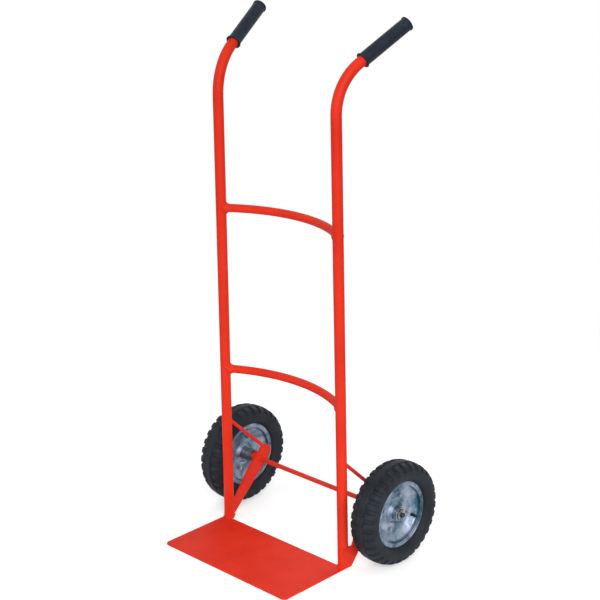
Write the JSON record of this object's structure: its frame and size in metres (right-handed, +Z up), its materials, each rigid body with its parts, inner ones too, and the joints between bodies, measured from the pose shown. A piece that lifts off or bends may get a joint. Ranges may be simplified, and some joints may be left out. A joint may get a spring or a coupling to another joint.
{
  "type": "hand truck",
  "caption": "Upright tubular hand truck with splayed grips, bowed crossbars, a flat toe plate and pneumatic wheels that roll on a braced rear axle.",
  "frame": {"origin": "on the floor, under the middle of the whole object's bounding box, with the tyres and the toe plate resting on the floor", "axes": "+Z up along the uprights, +X along the axle towards the right-hand wheel as seen by someone facing the load side, +Y from the toe plate towards the wheels and handles"},
  "size_m": [0.593, 0.4465, 1.2864],
  "materials": {
    "red_paint": "smooth semi-gloss red powder coat over steel tube, rod and plate",
    "grip_rubber": "satin black moulded grip",
    "tyre_rubber": "matt dark grey tyre rubber",
    "tube_rubber": "plain black rubber",
    "rim_paint": "blue-grey zinc-plated pressed steel",
    "zinc_plate": "bright zinc-plated steel",
    "bearing_steel": "ground bearing steel",
    "cap_plastic": "black moulded plastic"
  },
  "bodies": {
    "frame": {"toe_plate": "red_paint", "upright_left": "red_paint", "upright_right": "red_paint", "crossbar_upper": "red_paint", "crossbar_lower": "red_paint", "axle_strut_left": "red_paint", "axle_strut_right": "red_paint", "brace_rod_left": "red_paint", "brace_rod_right": "red_paint", "grip_left": "grip_rubber", "grip_right": "grip_rubber", "axle": "red_paint", "spacer_collar_left": "red_paint", "spacer_collar_right": "red_paint", "axle_washers_left": "zinc_plate", "axle_washers_right": "zinc_plate", "split_pin_left": "zinc_plate", "split_pin_right": "zinc_plate"},
    "wheel_left": {"tyre_left": "tyre_rubber", "inner_tube_left": "tube_rubber", "rim_outer_left": "rim_paint", "rim_inner_left": "rim_paint", "hub_left": "zinc_plate", "bearing_outer_left": "bearing_steel", "bearing_inner_left": "bearing_steel", "rim_bolts_left": "zinc_plate", "rim_nuts_left": "zinc_plate", "valve_stem_left": "tube_rubber", "valve_cap_left": "cap_plastic"},
    "wheel_right": {"tyre_right": "tyre_rubber", "inner_tube_right": "tube_rubber", "rim_outer_right": "rim_paint", "rim_inner_right": "rim_paint", "hub_right": "zinc_plate", "bearing_outer_right": "bearing_steel", "bearing_inner_right": "bearing_steel", "rim_bolts_right": "zinc_plate", "rim_nuts_right": "zinc_plate", "valve_stem_right": "tube_rubber", "valve_cap_right": "cap_plastic"}
  },
  "joints": [
    {"name": "wheel_left_spin", "type": "hinge", "parent": "frame", "child": "wheel_left", "pos_m": [-0.26, 0.09625, 0.127], "axis": [1, 0, 0], "continuous": true},
    {"name": "wheel_right_spin", "type": "hinge", "parent": "frame", "child": "wheel_right", "pos_m": [0.26, 0.09625, 0.127], "axis": [1, 0, 0], "continuous": true}
  ]
}
